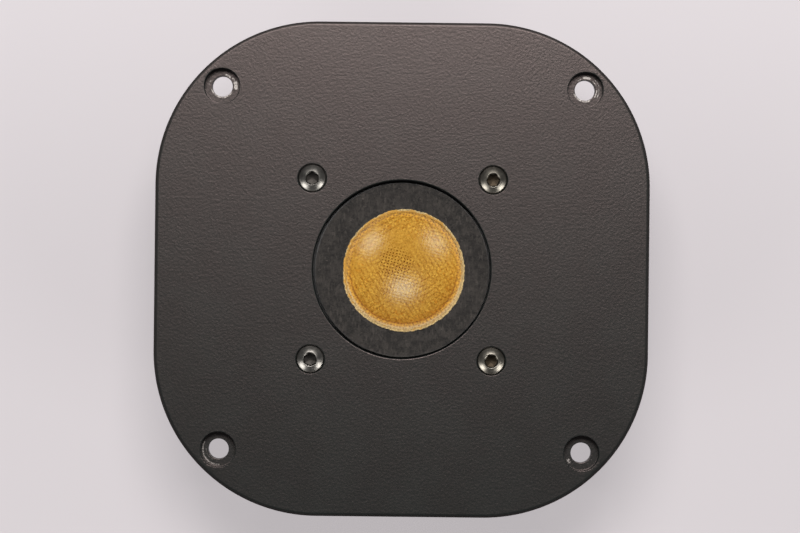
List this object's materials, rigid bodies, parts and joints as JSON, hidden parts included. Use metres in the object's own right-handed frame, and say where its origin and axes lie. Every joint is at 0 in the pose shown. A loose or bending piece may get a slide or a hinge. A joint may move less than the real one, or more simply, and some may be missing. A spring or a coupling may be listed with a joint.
{
  "type": "car tweeter",
  "caption": "Inverted-dome tweeter: a concave woven dome and half-roll surround inside a felt ring, on a square flange with round corners and a ferrite ring motor behind.",
  "frame": {"origin": "centre of the motor's rear face, on the dome's axis", "axes": "+Z out of the dome towards the listener; the terminals are at the -Y side, +X to the right seen from the front with +Y up"},
  "size_m": [0.104, 0.104, 0.0291],
  "materials": {
    "black_paint": "matte",
    "dark_felt": "matte",
    "golden_cloth": "satin",
    "pale_foam": "matte",
    "black_plastic": "matte",
    "amber_film": "satin",
    "copper_wire": "satin",
    "zinc_steel": "satin",
    "ferrite": "matte",
    "nickel_steel": "satin",
    "tinned_brass": "satin",
    "brown_board": "matte"
  },
  "bodies": {
    "root": {"faceplate": "black_paint", "felt_ring": "dark_felt", "suspension_ring": "black_plastic", "surround": "pale_foam", "top_plate": "zinc_steel", "magnet": "ferrite", "back_plate": "zinc_steel", "pole_piece": "zinc_steel", "pole_damping_felt": "dark_felt", "face_screw_1": "nickel_steel", "face_screw_2": "nickel_steel", "face_screw_3": "nickel_steel", "face_screw_4": "nickel_steel", "terminal_board": "brown_board", "board_screw": "nickel_steel", "terminal_tab_positive": "tinned_brass", "terminal_tab_negative": "tinned_brass", "terminal_eyelet_positive": "tinned_brass", "terminal_eyelet_negative": "tinned_brass", "coil_lead_positive": "copper_wire", "coil_lead_negative": "copper_wire"},
    "moving": {"dome": "golden_cloth", "voice_coil_former": "amber_film", "voice_coil": "copper_wire"}
  },
  "joints": [
    {"name": "dome_travel", "type": "slide", "parent": "root", "child": "moving", "axis": [0, 0, 1], "range_m": [-0.0005, 0.0005], "stiffness_N_per_m": 11000, "deforming": ["surround", "coil_lead_positive", "coil_lead_negative"]}
  ]
}
